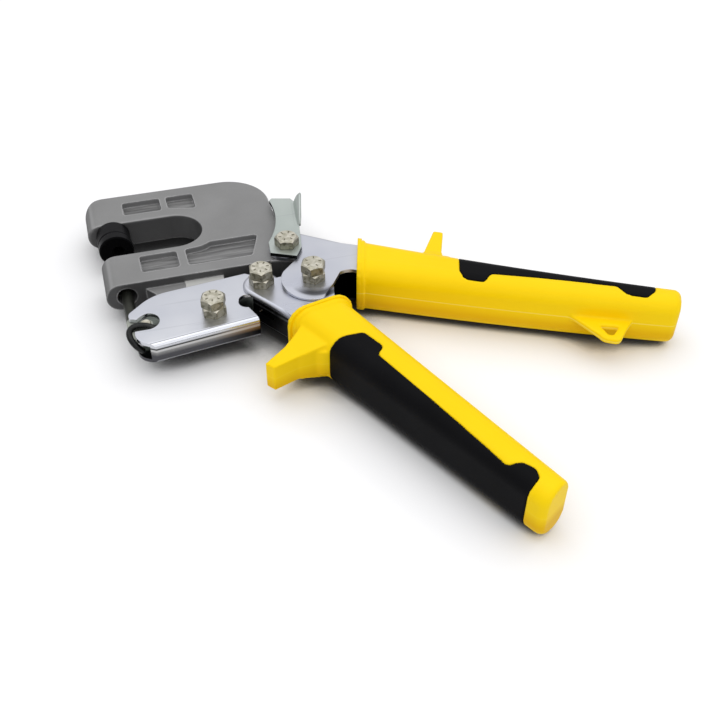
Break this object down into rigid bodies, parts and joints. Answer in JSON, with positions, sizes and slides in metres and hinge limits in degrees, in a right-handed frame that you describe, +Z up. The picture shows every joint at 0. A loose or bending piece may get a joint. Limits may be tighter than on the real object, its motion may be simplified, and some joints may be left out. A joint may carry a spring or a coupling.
{
  "type": "stud crimping plier",
  "caption": "One-hand stud crimper: cast C-frame with a die and a punch, driven by linked sheet-steel lever handles with moulded two-part grips and a locking latch.",
  "frame": {"origin": "centre of the underside of the bounding box of the tool lying flat with the handles open", "axes": "+X from the jaw to the grips, +Y the way the punch travels towards the die, +Z up along the pivot bolts, towards the bolt heads"},
  "size_m": [0.251, 0.2498, 0.0328],
  "materials": {
    "casting": "satin grey casting",
    "black_steel": "black oxide",
    "tool_steel": "dark ground steel",
    "sheet_steel": "bright zinc plated sheet",
    "plated_bolts": "zinc plated",
    "spring_wire": "oiled spring wire",
    "yellow_plastic": "fine moulded texture",
    "black_rubber": "soft matt"
  },
  "bodies": {
    "frame": {"c_frame": "casting", "die_button": "black_steel", "punch_guide": "tool_steel"},
    "punch": {"punch_rod": "tool_steel", "punch_pin": "sheet_steel"},
    "lever": {"lever_channel": "sheet_steel", "return_spring": "spring_wire", "lever_bolt": "plated_bolts", "lever_collar": "plated_bolts", "lever_nut": "plated_bolts"},
    "upper_handle": {"upper_channel": "sheet_steel", "upper_grip": "yellow_plastic", "upper_insert": "black_rubber", "hand_bolt": "plated_bolts", "hand_collar": "plated_bolts", "hand_nut": "plated_bolts", "frame_bolt": "plated_bolts", "frame_nut": "plated_bolts"},
    "lower_handle": {"lower_channel": "sheet_steel", "lower_grip": "yellow_plastic", "lower_insert": "black_rubber", "link_bolt": "plated_bolts", "link_collar": "plated_bolts", "link_nut": "plated_bolts"},
    "latch": {"latch_plate": "sheet_steel"}
  },
  "joints": [
    {"name": "frame_pivot", "type": "hinge", "parent": "frame", "child": "upper_handle", "pos_m": [-0.03553, 0.05297, 0.014], "axis": [0, 0, 1], "range_deg": [0, 7.2]},
    {"name": "hand_squeeze", "type": "hinge", "parent": "upper_handle", "child": "lower_handle", "pos_m": [-0.02953, 0.02617, 0.014], "axis": [0, 0, 1], "range_deg": [0, 28], "stiffness_Nm_per_rad": 0.4},
    {"name": "lever_pivot", "type": "hinge", "parent": "frame", "child": "lever", "pos_m": [-0.07653, 0.01897, 0.014], "axis": [0, 0, 1], "range_deg": [-29.2, 0]},
    {"name": "punch_slide", "type": "slide", "parent": "frame", "child": "punch", "axis": [0, 1, 0], "range_m": [0, 0.0165]},
    {"name": "latch_pivot", "type": "hinge", "parent": "frame", "child": "latch", "pos_m": [-0.03553, 0.05297, 0.014], "axis": [0, 0, 1], "range_deg": [-35, 0]}
  ],
  "couplings": [
    {"joint": "frame_pivot", "follows": "hand_squeeze", "ratio": 0.2533},
    {"joint": "lever_pivot", "follows": "hand_squeeze", "ratio": -1.0361},
    {"joint": "punch_slide", "follows": "hand_squeeze", "m_per_rad": 0.03356}
  ]
}
